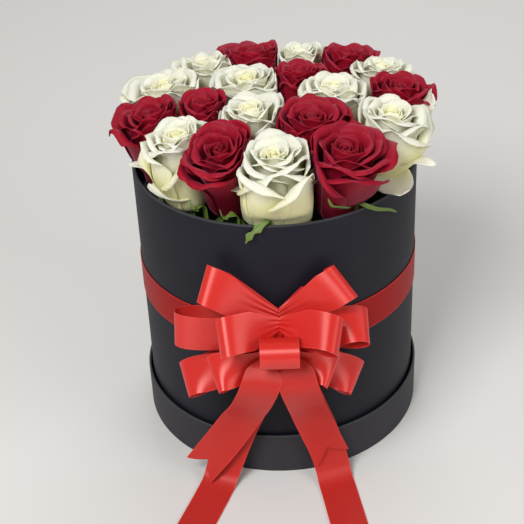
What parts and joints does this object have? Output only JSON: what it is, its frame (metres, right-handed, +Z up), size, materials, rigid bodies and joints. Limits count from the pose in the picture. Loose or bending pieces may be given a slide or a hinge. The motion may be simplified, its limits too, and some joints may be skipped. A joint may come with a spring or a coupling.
{
  "type": "box of roses",
  "caption": "Round charcoal card hat box filled with white and red cut roses in floral foam, standing in its upturned lid and tied with a red satin ribbon and a looped bow with tails.",
  "frame": {"origin": "middle of the box's underside, on the surface it stands on", "axes": "+Z up through the box's axis, -Y towards the bow at the front, +X to the right as seen from the front"},
  "size_m": [0.2531, 0.3177, 0.2837],
  "materials": {
    "card": "matte",
    "card_inside": "matte",
    "liner_film": "satin",
    "foam": "matte",
    "satin_ribbon": "satin",
    "white_petals": "matte",
    "red_petals": "matte",
    "stem_green": "matte"
  },
  "bodies": {
    "root": {"bow_centre": "satin_ribbon", "bow_loop_left_front": "satin_ribbon", "bow_loop_left_low": "satin_ribbon", "bow_loop_left_low_front": "satin_ribbon", "bow_loop_left_side": "satin_ribbon", "bow_loop_left_top": "satin_ribbon", "bow_loop_right_front": "satin_ribbon", "bow_loop_right_low": "satin_ribbon", "bow_loop_right_low_front": "satin_ribbon", "bow_loop_right_side": "satin_ribbon", "bow_loop_right_top": "satin_ribbon", "box_floor": "card_inside", "box_tube": "card", "foam": "foam", "lid_panel": "card", "lid_rim": "card", "liner": "liner_film", "ribbon_band": "satin_ribbon", "rose_01_red_bloom": "red_petals", "rose_01_stem": "stem_green", "rose_02_stem": "stem_green", "rose_02_white_bloom": "white_petals", "rose_03_red_bloom": "red_petals", "rose_03_stem": "stem_green", "rose_04_stem": "stem_green", "rose_04_white_bloom": "white_petals", "rose_05_red_bloom": "red_petals", "rose_05_stem": "stem_green", "rose_06_stem": "stem_green", "rose_06_white_bloom": "white_petals", "rose_07_stem": "stem_green", "rose_07_white_bloom": "white_petals", "rose_08_red_bloom": "red_petals", "rose_08_stem": "stem_green", "rose_09_stem": "stem_green", "rose_09_white_bloom": "white_petals", "rose_10_red_bloom": "red_petals", "rose_10_stem": "stem_green", "rose_11_stem": "stem_green", "rose_11_white_bloom": "white_petals", "rose_12_red_bloom": "red_petals", "rose_12_stem": "stem_green", "rose_13_stem": "stem_green", "rose_13_white_bloom": "white_petals", "rose_14_stem": "stem_green", "rose_14_white_bloom": "white_petals", "rose_15_red_bloom": "red_petals", "rose_15_stem": "stem_green", "rose_16_stem": "stem_green", "rose_16_white_bloom": "white_petals", "rose_17_red_bloom": "red_petals", "rose_17_stem": "stem_green", "rose_18_stem": "stem_green", "rose_18_white_bloom": "white_petals", "rose_19_red_bloom": "red_petals", "rose_19_stem": "stem_green", "tail_left_long": "satin_ribbon", "tail_left_short": "satin_ribbon", "tail_right_long": "satin_ribbon", "tail_right_short": "satin_ribbon"}
  },
  "joints": []
}
